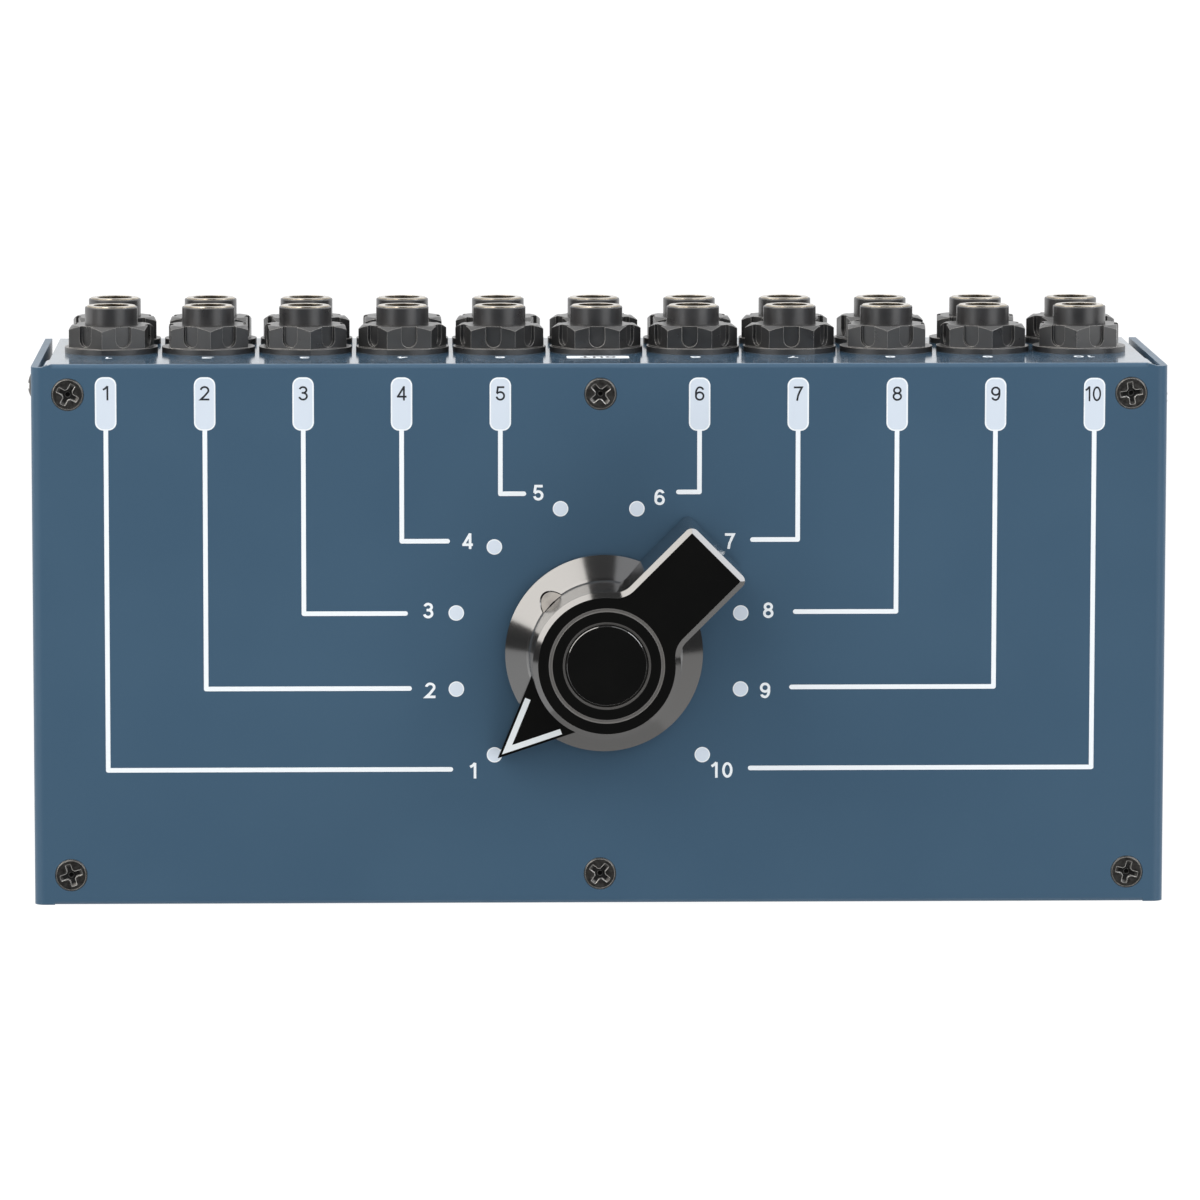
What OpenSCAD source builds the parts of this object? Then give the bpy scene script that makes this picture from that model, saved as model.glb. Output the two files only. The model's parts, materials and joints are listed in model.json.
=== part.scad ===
// Audio switch box: a folded steel case with a ten way rotary selector under a pointer knob on its
// panel, and two rows of jack sockets along its rear wall.
// Millimetres. X runs to the right, Y to the rear, Z up. The box stands on its feet at Z = 0, and the
// origin is under the middle of its outline.

/* [Case] */
// Width of the case over the side walls of the cover
case_w = 234; // [226:1:260]
// Depth of the cover from its front edge to its rear edge
case_d = 112.2; // [104:0.1:140]
// Height of the case from its underside to the panel
case_h = 67; // [64:0.5:90]
// Thickness of the folded sheet
sheet = 1.5; // [1:0.1:2]
// Outer radius of the folds
fold_r = 2.2; // [2.1:0.1:3]
// How far the front and rear walls sit inside the edges of the cover
wall_inset = 0.4; // [0.2:0.1:1]
// Radius of the rounded front and rear edges of the panel
panel_edge_r = 0.9; // [0.4:0.1:1.2]
// How far the side walls end ahead of the panel's rear edge
side_setback = 0.6; // [0.2:0.1:1]
// Distance from the sides of the case where the rear edge runs back to the side walls
setback_run = 4.2; // [3.5:0.1:6]
// Gap between the ends of the chassis and the side walls of the cover
side_gap = 1.8; // [0.5:0.1:2.5]
// Depth of the chassis lips under the panel
lip = 12; // [10:0.5:16]
// Height of the two chassis tabs behind the side walls
tab_h = 11; // [9:0.5:14]
// Length of the two chassis tabs
tab_len = 15; // [13:0.5:20]

/* [Screws and feet] */
// Shank diameter of the panel and side screws
screw_d = 3.5; // [3:0.1:4]
// Head diameter of the panel screws
screw_head_d = 6.6; // [6:0.1:7.4]
// Height of the rim of a panel screw head
screw_rim = 0.35; // [0.3:0.05:0.5]
// Width of the chamfer round a panel screw head
screw_chamfer = 0.25; // [0.1:0.05:0.3]
// How far the panel screw heads stand out of the panel
screw_proud = 0.15; // [0:0.05:0.25]
// Length of the panel screws
screw_len = 8; // [6:0.5:12]
// Distance of the panel screws from the front and rear edges
screw_edge = 6.2; // [5:0.1:7]
// Distance of the corner screws from the sides of the case
screw_side = 7.6; // [6.5:0.1:10]
// Head diameter of the side screws
side_head_d = 6; // [5.5:0.1:7]
// Head height of the side screws
side_head_h = 1; // [0.8:0.1:2]
// Length of the side screws under the head
side_screw_len = 6; // [4:0.5:10]
// Depth of the side screws below the panel
side_screw_drop = 10.5; // [10:0.5:14]
// Distance of the left side screw from the rear edge of the panel
side_screw_back_left = 5.2; // [5:0.1:10]
// Distance of the right side screw from the rear edge of the panel
side_screw_back_right = 8; // [5:0.1:10]
// Width of the arms of the crosses in the screw heads
cross_w = 1.1; // [0.6:0.1:1.2]
// Span of the cross recess across a panel screw's face
cross_span = 4.7; // [3:0.1:4.8]
// Span of the cross pockets in the domed heads
dome_cross_span = 3.6; // [3:0.1:4]
// Depth of the cross pockets in the domed heads
dome_cross_depth = 0.7; // [0.4:0.1:0.7]
// Chamfer in the inner corners of the crosses
cross_corner = 0.4; // [0.1:0.1:0.6]
// Run of the sloping ends of a panel screw's recess
cross_end = 0.55; // [0.3:0.05:0.8]
// Depth of a panel screw's recess
cross_depth = 1; // [0.5:0.1:1.1]
// Diameter of the rubber feet at the chassis
foot_d = 14; // [12:0.5:20]
// Draft of the rubber feet on the radius
foot_draft = 1; // [0.2:0.1:1.5]
// Height of the rubber feet
foot_h = 4; // [3.4:0.1:8]
// Distance of the feet from the sides, the front and the rear of the case
foot_in = 19; // [16:0.5:30]
// Shank diameter of the foot screws
foot_screw_d = 3; // [2.5:0.1:3.5]
// Head diameter of the foot screws
foot_head_d = 5.6; // [5:0.1:6.5]
// Head height of the foot screws
foot_head_h = 1.4; // [1:0.1:1.8]
// Depth of the head's recess in a foot
foot_recess = 2; // [1.9:0.1:2.6]
// Length of the foot screws under the head
foot_screw_len = 7; // [5:0.5:12]

/* [Jack sockets] */
// Distance of the outermost sockets from the sides of the case
jack_side = 15.4; // [14:0.1:20]
// Height of the lower row of sockets above the underside of the case
row_rise = 13.2; // [11:0.1:16]
// Distance between the two rows of sockets
row_pitch = 20.3; // [19:0.1:22]
// Diameter of the socket barrels
nose_d = 11; // [10:0.1:12]
// How far the sockets stand out of the rear wall
nose_out = 9.8; // [8.5:0.1:14]
// Radius of the rounded barrel ends
nose_round = 0.25; // [0.1:0.05:0.3]
// Diameter of the plug bore
socket_d = 6.4; // [6.35:0.01:6.6]
// Depth of the plug bore from the end of the barrel
socket_len = 31.5; // [28:0.5:32]
// Gap between the housings of neighbouring sockets
jack_space = 4.3; // [2:0.1:5]
// Length of the socket housings behind the rear wall
jack_len = 23; // [22.5:0.1:26]
// Chamfer along the socket housings
jack_chamfer = 1.2; // [0.4:0.1:2]
// Depth of the contact windows in the sides of the housings
window_depth = 2; // [1:0.1:2.4]
// Height of the contact windows
window_h = 4; // [2:0.1:6]
// Outer diameter of the bright ring on a barrel's end
ferrule_d = 10.3; // [9:0.1:10.3]
// Inner diameter of the bright ring
ferrule_hole_d = 7.4; // [7:0.1:7.8]
// Thickness of the bright ring
ferrule_t = 0.8; // [0.6:0.1:1.2]
// Width of the chamfer on the outer edge of the bright ring
ferrule_edge = 0.2; // [0.1:0.05:0.3]
// How far the bright ring stands out of the barrel
ferrule_proud = 0.25; // [0.1:0.05:0.4]

/* [Jack nuts] */
// Gap between the flanges of neighbouring nuts
nut_space = 0.8; // [0.4:0.1:2]
// Height of a nut with its flange
nut_h = 5.8; // [4.5:0.1:7]
// Chamfer height on the corners of a nut
nut_chamfer = 0.9; // [0.4:0.1:1.4]
// How far the flange stands out past the corners of a nut
flange_step = 0.4; // [0.1:0.1:1]
// Thickness of the flange
flange_t = 1.2; // [0.8:0.1:1.8]
// Width of the flutes
flute_w = 3.3; // [2:0.1:4]
// Depth of a flute below its flat
flute_depth = 0.8; // [0.4:0.05:1.2]
// Height of a flute's round end above the flange
flute_rise = 0.25; // [0.1:0.05:1]

/* [Knob] */
// Height of the knob
knob_h = 22.5; // [20:0.5:28]
// Gap between the knob and the panel
knob_gap = 1; // [0.6:0.1:2]
// Diameter of the knob's hub
hub_d = 30.2; // [27:0.1:33]
// Draft of the hub's wall on the radius
hub_draft = 0.5; // [0.1:0.1:0.8]
// Diameter of the skirt
skirt_d = 40.8; // [38:0.1:46]
// Height of the skirt's straight rim
skirt_edge = 2.6; // [1:0.1:3]
// Height at which the flared skirt reaches the hub
skirt_rise = 6; // [5:0.1:9]
// Width of the shoulder between skirt and hub
shoulder = 0.5; // [0.2:0.1:1.2]
// Width of the grip bar
bar_w = 16.2; // [13:0.1:18]
// Reach of the grip bar from the axis
bar_reach = 32.5; // [26:0.1:38]
// Radius of the upright corners of the grip bar
bar_corner_r = 1.6; // [0.6:0.1:2.5]
// Radius of the hollows where the grip bar joins the hub
fillet_r = 4; // [2:0.1:6]
// Width of the bevel round the top
bevel = 1.1; // [0.4:0.1:1.4]
// Height of the bevel round the top
bevel_h = 0.9; // [0.4:0.1:1.4]
// Reach of the pointer's tip from the axis
pointer_reach = 31; // [27:0.1:34]
// Angle of the pointer's tip
pointer_angle = 48; // [36:1:56]
// Height of the pointer at the hub
pointer_root_h = 7; // [5:0.1:9]
// Height of the pointer's tip
pointer_tip_h = 1.8; // [1.2:0.1:3]
// Width of the white lines on the pointer
inlay_w = 1.2; // [0.6:0.1:1.4]
// Distance of the white lines from the pointer's edges
inlay_edge = 0.5; // [0.3:0.1:0.8]
// Depth of the white lines
inlay_depth = 0.4; // [0.2:0.05:0.6]
// Length of the white lines
inlay_len = 13.2; // [10:0.1:14]
// Diameter of the round insert on the knob's top
cap_d = 16.7; // [14:0.1:19]
// Thickness of the round insert
cap_t = 1.2; // [0.8:0.1:2]
// Gap round the round insert
cap_gap = 0.15; // [0.05:0.05:0.3]
// Width of the chamfers on the round insert and on the edge of its recess
cap_edge = 0.3; // [0.2:0.05:0.6]
// Depth of the fine chamfers and of the turned groove for each unit of their width
edge_slope = 0.8; // [0.6:0.05:1]
// Mean diameter of the turned groove on the knob's top
ring_d = 22.9; // [21:0.1:25]
// Width of the turned groove
ring_w = 0.75; // [0.3:0.05:1]
// Diameter of the hollow under the knob
hollow_d = 21; // [18:0.1:24]
// Height of the hollow under the knob
hollow_h = 3.9; // [3.9:0.1:4.4]
// Outer diameter of the brass bush
brass_d = 10; // [9:0.1:12]
// Length of the brass bush
brass_len = 9; // [8.5:0.1:10]
// Height of the set screw's axis above the knob's underside
set_screw_h = 7.4; // [7.3:0.1:9]
// Diameter of the set screw
set_screw_d = 5.6; // [4:0.1:5.6]
// Width of the set screw's hexagon socket over its corners
hex_key_d = 2.2; // [1.5:0.1:2.8]
// Depth of the hexagon socket from the hub's wall
hex_key_depth = 2.8; // [2:0.1:4]
// How far the shaped end of the set screw lies inside the knob's outline
set_screw_sink = 0.25; // [0.1:0.05:0.5]

/* [Rotary switch] */
// How far the shaft stands in front of the panel's middle
shaft_ahead = 3.4; // [0:0.1:6]
// How far the shaft stands to the right of the panel's middle
shaft_side = 0.7; // [0:0.1:3]
// Diameter of the shaft
shaft_d = 6; // [5:0.1:6.35]
// Length of the shaft inside the knob
shaft_in_knob = 12; // [10.5:0.1:12]
// Depth of the flat on the shaft
shaft_flat = 0.75; // [0.4:0.05:1]
// Outer diameter of the threaded bush
bush_d = 9.5; // [9:0.1:10.5]
// How far the threaded bush stands out of the panel
bush_out = 3.6; // [3.3:0.1:3.6]
// How far the threaded bush reaches into the index housing
bush_in = 3; // [2:0.1:5]
// Diameter of the lock washer
washer_d = 16; // [14:0.1:17]
// Thickness of the lock washer
washer_t = 0.8; // [0.5:0.1:1.2]
// Width of the panel nut across its corners
panel_nut_d = 15.9; // [14:0.1:17]
// Height of the panel nut
panel_nut_h = 2.4; // [2:0.1:3]
// Width of the index housing
index_w = 40; // [38:0.5:42]
// Height of the index housing
index_h = 10; // [8:0.5:12]
// Corner radius of the index housing and the decks
index_r = 4; // [2:0.5:6]
// Number of switch positions
positions = 10; // [4:2:12]
// Distance from the index housing to the first deck
deck_drop = 7; // [6:0.5:8]
// Distance from one deck to the next
deck_pitch = 10; // [8.5:0.5:10.5]
// Thickness of the decks and of the jack board
board_t = 1.6; // [1.2:0.1:2]
// Diameter of the rotors
rotor_d = 17.8; // [16:0.1:18.4]
// How far the rotors stand out of the decks
rotor_lip = 1; // [0.9:0.1:1.4]
// Width of the drive blade
blade_w = 4.8; // [4:0.1:5]
// Thickness of the drive blade
blade_t = 1.8; // [1.4:0.1:2.4]
// Distance of the tie rods from the shaft
rod_out = 16; // [15:0.1:16.5]
// Diameter of the tie rods
rod_d = 3; // [2.5:0.1:3.2]
// Outer diameter of the spacers on the tie rods
spacer_d = 5.6; // [5:0.1:6]
// Thickness of the contacts
contact_t = 0.4; // [0.3:0.05:0.5]
// Width of the contacts
contact_w = 1.4; // [1:0.1:1.8]

/* [Fits] */
// Gap round pieces that are fixed to each other
fit_gap = 0.05; // [0.02:0.01:0.1]
// Gap between a barrel and its hole in the rear wall
hole_gap = 0.15; // [0.1:0.05:0.3]
// Radial gap of the turning shaft in its bush
run_gap = 0.05; // [0.02:0.01:0.08]
// Gap between other turning and fixed pieces
clear_gap = 0.3; // [0.25:0.05:0.5]

/* [Hidden] */
$fn = 48;
// Overshoot of cuts
cut = 1;

columns = ["input_1", "input_2", "input_3", "input_4", "input_5", "output",
           "input_6", "input_7", "input_8", "input_9", "input_10"];
channels = ["left", "right"];
middle_column = (len(columns) - 1) / 2;
function jack_name(c, r) = str(columns[c], "_", channels[r], "_jack");

// How far each nut happens to be turned, in degrees, for the upper and the lower row
nut_turns = [[-10, 4, 7, -20, 20, 30, 23, 30, -2, 8, -8],
             [12, -6, 18, 3, -14, 24, 9, -20, 15, -4, 27]];
// How far the cross of each panel screw happens to be turned
front_cross_turns = [18, 52, 75];
rear_cross_turns = [62, 40, 8];

// Places of the case walls
span_y = case_d - wall_inset + nose_out;
y_front = -span_y / 2;
y_back = y_front + case_d;
y_mid = (y_front + y_back) / 2;
rear_out = y_back - wall_inset;
rear_in = rear_out - sheet;
z_floor = foot_h;
z_top = foot_h + case_h;
z_under = z_top - sheet;
side_in = case_w / 2 - sheet;
chassis_w = case_w - 2 * (sheet + side_gap);
chassis_d = case_d - 2 * wall_inset;
chassis_h = case_h - sheet;

// Sockets
jack_pitch = (case_w - 2 * jack_side) / (len(columns) - 1);
jack_cell = min(jack_pitch, row_pitch);
jack_w = jack_cell - jack_space;
flange_d = jack_cell - nut_space;
nut_d = flange_d - 2 * flange_step;
nose_len = sheet + nose_out - ferrule_proud;
ferrule_seat = ferrule_t - ferrule_proud;
rear_step = 1;
terminal_d = 1.2;
terminal_in = 2;
terminal_edge = 1.2;
terminal_out = jack_w / 2 - rear_step - terminal_edge;
terminal_low = terminal_out - terminal_edge / 2;
board_face = rear_in - jack_len - board_t;
board_w = (len(columns) - 1) * jack_pitch + jack_w;

// Switch
shaft_y = y_mid - shaft_ahead;
deck_count = 4;
detent_step = 30;
sweep = (positions - 1) * detent_step;
first_angle = 90 + sweep / 2;
clip_t = 0.6;
clip_groove = 0.6;
clip_w = 1.6;
collar_h = 1.2;
collar_w = 1.4;
rod_seat = 4;
tie_nut_d = 6;
tie_nut_h = 2.4;
rod_end = 1.2;
tongue_w = 26;
tongue_gap = 1.2;
connector_wall = 2;
connector_d = 6;
contact_gap = 1.5;
contact_lap = 2;
contact_in = rotor_d / 2 + contact_gap;
contact_out = index_w / 2 - contact_gap;
wiper_reach = contact_in + contact_lap;
last_deck = deck_count - 1;
blade_end = deck_z(last_deck) - board_t - rotor_lip - cut;

// Jack board, from the lower row of sockets up past the first deck's connector
board_edge = 1.5;
board_low = row_z(1) - jack_w / 2;
board_high = z_under + deck_z(0) + connector_wall + board_edge;

// Knob
hub_r = hub_d / 2;
hub_foot_r = hub_r + hub_draft;
bar_half = bar_w / 2;
fillet_y = bar_half + fillet_r;
fillet_x = sqrt(pow(hub_r + fillet_r, 2) - pow(fillet_y, 2));
hub_share = hub_r / (hub_r + fillet_r);
shaft_top = sheet + knob_gap + shaft_in_knob;
flat_r = shaft_d / 2 - shaft_flat;
cap_sink = 0.1;

function row_z(r) = z_floor + row_rise + (1 - r) * row_pitch;
function deck_z(i) = -(index_h + deck_drop + i * deck_pitch);
function pointer_half(inset, x) =
    (pointer_reach - inset / sin(pointer_angle / 2) - x) * tan(pointer_angle / 2);
function pointer_top(x) =
    pointer_tip_h + (pointer_root_h - pointer_tip_h) * (pointer_reach - x) / (pointer_reach - hub_r);

// Rectangle with round corners, centred
module rounded_2d(w, h, r) {
    square([w - 2 * r, h], center = true);
    square([w, h - 2 * r], center = true);
    for (x = [-1, 1], y = [-1, 1])
        translate([x * (w / 2 - r), y * (h / 2 - r)]) circle(r = r);
}

// Arch with its feet at zero and round upper corners
module arch_2d(w, h, r) {
    translate([-w / 2, 0]) square([w, h - r]);
    translate([r - w / 2, 0]) square([w - 2 * r, h]);
    for (x = [-1, 1])
        translate([x * (w / 2 - r), h - r]) circle(r = r);
}

// Square with chamfered corners, centred
module chamfered_2d(w, c) {
    a = w / 2;
    b = w / 2 - c;
    polygon([[a, -b], [a, b], [b, a], [-b, a], [-a, b], [-a, -b], [-b, -a], [b, -a]]);
}

// Ring about Z
module ring(outer_r, inner_r, h) {
    difference() {
        cylinder(r = outer_r, h = h);
        translate([0, 0, -cut]) cylinder(r = inner_r, h = h + 2 * cut);
    }
}

// Cross with chamfered inner corners
module cross_2d(span) {
    a = cross_w / 2;
    b = cross_w / 2 + cross_corner;
    s = span / 2;
    polygon([[s, a], [b, a], [a, b], [a, s], [-a, s], [-a, b], [-b, a], [-s, a],
             [-s, -a], [-b, -a], [-a, -b], [-a, -s], [a, -s], [a, -b], [b, -a], [s, -a]]);
}

// Cross recess with sloping arm ends that narrows with its depth, below z = 0
module cross_recess() {
    s = cross_span / 2;
    end_depth = cross_end * edge_slope;
    intersection() {
        rotate_extrude()
            polygon([[0, -cross_depth], [cross_w / 2, -cross_depth], [s - cross_end, -end_depth],
                     [s + cross_end, end_depth], [0, end_depth]]);
        translate([0, 0, -cross_depth - cut]) linear_extrude(cross_depth + 2 * cut)
            cross_2d(cross_span + 2 * cut);
    }
}

// Low domed head about Z with a cross pocket, standing on z = 0
module domed_head(d, h) {
    dome_r = (pow(d / 2, 2) + h * h) / (2 * h);
    difference() {
        rotate_extrude() intersection() {
            translate([0, h - dome_r]) circle(r = dome_r);
            square([d / 2, h]);
        }
        translate([0, 0, h - dome_cross_depth]) linear_extrude(dome_cross_depth + cut)
            cross_2d(dome_cross_span);
    }
}

module at_panel_screws() {
    for (i = [-1 : 1]) {
        translate([i * (case_w / 2 - screw_side), y_front + screw_edge, z_top + screw_proud])
            rotate([0, 0, front_cross_turns[i + 1]]) children();
        translate([i * (case_w / 2 - screw_side), y_back - screw_edge, z_top + screw_proud])
            rotate([0, 0, rear_cross_turns[i + 1]]) children();
    }
}

// Side screws point into the case along their own -Z
module at_side_screws() {
    z = z_top - side_screw_drop;
    translate([-case_w / 2, y_back - side_screw_back_left, z]) rotate([0, -90, 0]) children();
    translate([case_w / 2, y_back - side_screw_back_right, z]) rotate([0, 90, 0]) children();
}

module at_feet() {
    for (x = [-1, 1], y = [y_front + foot_in, y_back - foot_in])
        translate([x * (case_w / 2 - foot_in), y, 0]) children();
}

// Socket frame: Z along the barrel and out of the case, from the inner face of the rear wall
module at_jack(c, r) {
    translate([(c - middle_column) * jack_pitch, rear_in, row_z(r)])
        rotate([-90, 0, 0]) children();
}

module at_row(r) {
    for (c = [0 : len(columns) - 1])
        at_jack(c, r) children();
}

module at_terminals() {
    for (p = [[-terminal_out, terminal_low], [terminal_out, terminal_low], [0, -terminal_out]])
        translate([p[0], p[1], -jack_len]) children();
}

// Switch frame: Z up along the shaft, from the underside of the panel
module at_switch() {
    translate([shaft_side, shaft_y, z_under]) children();
}

module at_rods() {
    for (x = [-1, 1])
        translate([x * rod_out, 0, 0]) children();
}

// Knob frame: pointer along +X, standing at the knob's underside
module at_knob() {
    translate([shaft_side, shaft_y, z_top + knob_gap]) rotate([0, 0, first_angle]) children();
}

// Countersunk screw, widened by a gap, with a chamfer round its head
module panel_screw_form(gap, tail, chamfer) {
    head_r = screw_head_d / 2 + gap;
    shank_r = screw_d / 2 + gap;
    rotate_extrude()
        polygon([[0, 0], [head_r - chamfer, 0], [head_r, -chamfer * edge_slope], [head_r, -screw_rim],
                 [shank_r, -screw_rim - head_r + shank_r], [shank_r, -tail], [0, -tail]]);
}

module panel_screw_hole() {
    panel_screw_form(fit_gap, screw_len + cut, 0);
    translate([0, 0, -screw_rim]) cylinder(d = screw_head_d + 2 * fit_gap, h = screw_rim + cut);
}

// What is cut away to round an edge of the panel that lies along X through the origin
module panel_edge_cut() {
    edge_len = case_w - 2 * setback_run;
    translate([-edge_len / 2, -panel_edge_r, -panel_edge_r]) rotate([90, 0, 90])
        linear_extrude(edge_len) difference() {
            square(panel_edge_r + cut);
            circle(r = panel_edge_r);
        }
}

// What is cut away behind the right side wall
module side_setback_cut() {
    a = case_w / 2;
    b = y_back - side_setback;
    run = (setback_run - fold_r) / side_setback;
    translate([0, 0, z_floor - cut]) linear_extrude(case_h + 2 * cut)
        polygon([[a - fold_r, b], [a + cut, b], [a + cut, y_back + cut],
                 [a - setback_run - run * cut, y_back + cut]]);
}

module top_cover() {
    color("#455e75") difference() {
        translate([0, y_back, z_floor]) rotate([90, 0, 0]) linear_extrude(case_d)
            difference() {
                arch_2d(case_w, case_h, fold_r);
                translate([0, -cut])
                    arch_2d(case_w - 2 * sheet, case_h - sheet + cut, fold_r - sheet);
            }
        translate([0, y_back, z_top]) panel_edge_cut();
        translate([0, y_front, z_top]) mirror([0, 1, 0]) panel_edge_cut();
        side_setback_cut();
        mirror([1, 0, 0]) side_setback_cut();
        at_panel_screws() panel_screw_hole();
        at_side_screws()
            translate([0, 0, -sheet - cut]) cylinder(d = screw_d + 2 * fit_gap, h = sheet + 2 * cut);
        at_switch() translate([0, 0, -cut]) cylinder(d = bush_d + 2 * hole_gap, h = sheet + 2 * cut);
    }
}

// Folded tab that carries a side screw, on the right end of the rear wall
module chassis_tab() {
    translate([0, 0, z_top - side_screw_drop - tab_h / 2]) linear_extrude(tab_h) difference() {
        translate([side_in, rear_out]) intersection() {
            translate([-tab_len / 2, -tab_len / 2]) rounded_2d(tab_len, tab_len, fold_r);
            translate([-fold_r - side_gap, -tab_len + fold_r]) square([fold_r + side_gap, tab_len]);
        }
        translate([side_in - sheet - tab_len, rear_in - tab_len]) square(tab_len);
    }
}

module chassis() {
    color("#455e75") difference() {
        union() {
            translate([-chassis_w / 2, y_mid, z_floor + chassis_h / 2]) rotate([90, 0, 90])
                linear_extrude(chassis_w) difference() {
                    rounded_2d(chassis_d, chassis_h, fold_r);
                    rounded_2d(chassis_d - 2 * sheet, chassis_h - 2 * sheet, fold_r - sheet);
                    translate([lip - chassis_d / 2, 0]) square([chassis_d - 2 * lip, chassis_h]);
                }
            chassis_tab();
            mirror([1, 0, 0]) chassis_tab();
        }
        at_panel_screws() panel_screw_hole();
        at_side_screws()
            translate([0, 0, -side_screw_len - cut])
                cylinder(d = screw_d + 2 * fit_gap, h = side_screw_len + cut);
        for (r = [0 : 1]) at_row(r)
            translate([0, 0, -cut]) cylinder(d = nose_d + 2 * hole_gap, h = sheet + 2 * cut);
        at_feet() cylinder(d = foot_screw_d + 2 * fit_gap, h = z_floor + sheet + cut);
    }
}

module rubber_feet() {
    head_r = foot_head_d / 2 + clear_gap;
    shank_r = foot_screw_d / 2 + fit_gap;
    color("#202020") at_feet() rotate_extrude()
        polygon([[head_r, 0], [foot_d / 2 - foot_draft, 0], [foot_d / 2, foot_h], [shank_r, foot_h],
                 [shank_r, foot_recess], [head_r, foot_recess]]);
}

module foot_screws() {
    color("#b8bcc0") at_feet() translate([0, 0, foot_recess]) {
        mirror([0, 0, 1]) domed_head(foot_head_d, foot_head_h);
        cylinder(d = foot_screw_d, h = foot_screw_len);
    }
}

module panel_screws() {
    color("#26262a") at_panel_screws() difference() {
        panel_screw_form(0, screw_len, screw_chamfer);
        cross_recess();
    }
}

module side_screws() {
    color("#26262a") at_side_screws() {
        domed_head(side_head_d, side_head_h);
        translate([0, 0, -side_screw_len]) cylinder(d = screw_d, h = side_screw_len);
    }
}

module jack_socket(c, r) {
    color("#1b1b1d") at_jack(c, r) difference() {
        union() {
            translate([0, 0, rear_step - jack_len]) linear_extrude(jack_len - rear_step)
                chamfered_2d(jack_w, jack_chamfer);
            translate([0, 0, -jack_len]) linear_extrude(jack_len)
                chamfered_2d(jack_w - 2 * rear_step, jack_chamfer);
            rotate_extrude() {
                square([nose_d / 2, nose_len - nose_round]);
                square([nose_d / 2 - nose_round, nose_len]);
                translate([nose_d / 2 - nose_round, nose_len - nose_round]) intersection() {
                    circle(r = nose_round);
                    square(nose_round);
                }
            }
        }
        translate([0, 0, nose_len - socket_len]) cylinder(d = socket_d, h = socket_len + cut);
        translate([0, 0, nose_len - ferrule_seat]) cylinder(d = ferrule_d + 2 * fit_gap, h = ferrule_t);
        for (x = [-1, 1])
            translate([x * (jack_w - window_depth) / 2, 0, -jack_len / 2])
                cube([window_depth + fit_gap, window_h, jack_len / 2], center = true);
        at_terminals() translate([0, 0, -cut])
            cylinder(d = terminal_d + 2 * fit_gap, h = terminal_in + cut + fit_gap);
    }
}

module jack_nut(turn) {
    hex_r = nut_d / 2 * cos(30);
    flute_end = flange_t + flute_rise + flute_w / 2;
    rotate([0, 0, turn - 90]) difference() {
        union() {
            cylinder(d = flange_d, h = flange_t);
            intersection() {
                cylinder(d = nut_d, h = nut_h, $fn = 6);
                rotate_extrude()
                    polygon([[0, 0], [nut_d / 2, 0], [nut_d / 2, nut_h - nut_chamfer],
                             [hex_r, nut_h], [0, nut_h]]);
            }
        }
        translate([0, 0, -cut]) cylinder(d = nose_d + 2 * fit_gap, h = nut_h + 2 * cut);
        for (a = [30 : 60 : 330])
            rotate([0, 0, a]) translate([hex_r - flute_depth, 0, flute_end]) rotate([90, 0, 90])
                linear_extrude(flute_depth + cut) {
                    circle(d = flute_w);
                    translate([-flute_w / 2, 0]) square([flute_w, nut_h]);
                }
    }
}

module jack_nuts(r) {
    color("#1d1d1f") for (c = [0 : len(columns) - 1])
        at_jack(c, r) translate([0, 0, sheet]) jack_nut(nut_turns[r][c]);
}

module jack_ferrules() {
    r_out = ferrule_d / 2;
    hole_r = ferrule_hole_d / 2;
    color("#c9c9cc") for (r = [0 : 1]) at_row(r)
        translate([0, 0, nose_len - ferrule_seat]) rotate_extrude()
            polygon([[hole_r, 0], [r_out, 0], [r_out, ferrule_t - ferrule_edge],
                     [r_out - ferrule_edge, ferrule_t], [hole_r, ferrule_t]]);
}

module jack_terminals() {
    color("#c9c9cc") for (r = [0 : 1]) at_row(r) at_terminals()
        translate([0, 0, -board_t]) cylinder(d = terminal_d, h = board_t + terminal_in);
}

module jack_board() {
    color("#2f6b3f") difference() {
        translate([-board_w / 2, board_face, board_low]) cube([board_w, board_t, board_high - board_low]);
        for (r = [0 : 1]) at_row(r) at_terminals() translate([0, 0, -board_t - cut])
            cylinder(d = terminal_d + 2 * fit_gap, h = board_t + 2 * cut);
    }
}

module index_housing() {
    color("#8d9196") at_switch() difference() {
        translate([0, 0, -index_h]) linear_extrude(index_h) rounded_2d(index_w, index_w, index_r);
        translate([0, 0, -index_h - cut]) cylinder(r = shaft_d / 2 + run_gap, h = index_h + 2 * cut);
        translate([0, 0, -bush_in]) cylinder(d = bush_d + 2 * fit_gap, h = bush_in + cut);
        at_rods() translate([0, 0, -index_h - cut]) cylinder(d = rod_d + 2 * fit_gap, h = rod_seat + cut);
    }
}

module threaded_bush() {
    color("#c8b070") at_switch() translate([0, 0, -bush_in])
        ring(bush_d / 2, shaft_d / 2 + run_gap, bush_in + sheet + bush_out);
}

module lock_washer() {
    color("#b8bcc0") at_switch() translate([0, 0, sheet])
        ring(washer_d / 2, bush_d / 2 + hole_gap, washer_t);
}

module panel_nut() {
    color("#b8bcc0") at_switch() translate([0, 0, sheet + washer_t]) difference() {
        cylinder(d = panel_nut_d, h = panel_nut_h, $fn = 6);
        translate([0, 0, -cut]) cylinder(d = bush_d + 2 * fit_gap, h = panel_nut_h + 2 * cut);
    }
}

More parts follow.
